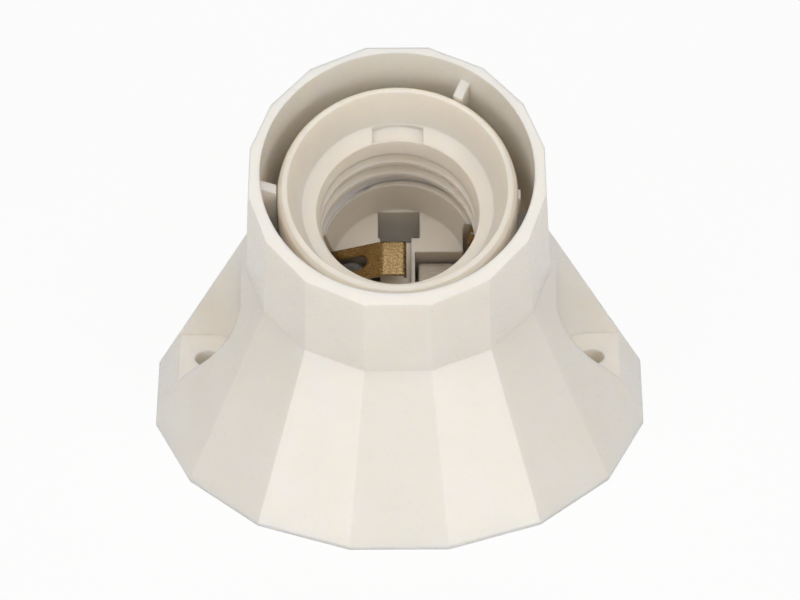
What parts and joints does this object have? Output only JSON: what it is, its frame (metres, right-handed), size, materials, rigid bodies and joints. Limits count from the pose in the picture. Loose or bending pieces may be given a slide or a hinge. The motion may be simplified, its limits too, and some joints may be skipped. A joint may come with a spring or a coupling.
{
  "type": "lamp holder",
  "caption": "Slanted wall lamp holder in cream plastic: faceted conical foot with wall screw pockets, leaning collar, Edison thread ring and brass contacts.",
  "frame": {"origin": "centre of the foot's sixteen-sided outline, on the plane of the wall", "axes": "+Z out of the wall, -Y towards the side that the collar leans to, +X along the line of the two wall screws"},
  "size_m": [0.0784, 0.0784, 0.0605],
  "materials": {
    "housing_plastic": "satin moulded cream",
    "ring_plastic": "satin moulded cream",
    "base_plastic": "matt moulded cream",
    "contact_brass": "rolled strip",
    "terminal_brass": "dull drawn bar",
    "screw_steel": "zinc plated"
  },
  "bodies": {
    "holder": {"housing": "housing_plastic", "thread_ring": "ring_plastic", "contact_base": "base_plastic", "centre_contact": "contact_brass", "side_contact": "contact_brass", "centre_terminal": "terminal_brass", "side_terminal": "terminal_brass", "insert_screws": "screw_steel"},
    "centre_screw": {"centre_terminal_screw": "screw_steel"},
    "side_screw": {"side_terminal_screw": "screw_steel"}
  },
  "joints": [
    {"name": "centre_screw_turn", "type": "hinge", "parent": "holder", "child": "centre_screw", "pos_m": [-0.0077, 0.00541, 0.01881], "axis": [0, -0.4147, 0.91], "range_deg": [0, 972]},
    {"name": "side_screw_turn", "type": "hinge", "parent": "holder", "child": "side_screw", "pos_m": [0.0066, 0.00072, 0.01777], "axis": [0, -0.4147, 0.91], "range_deg": [0, 972]}
  ]
}
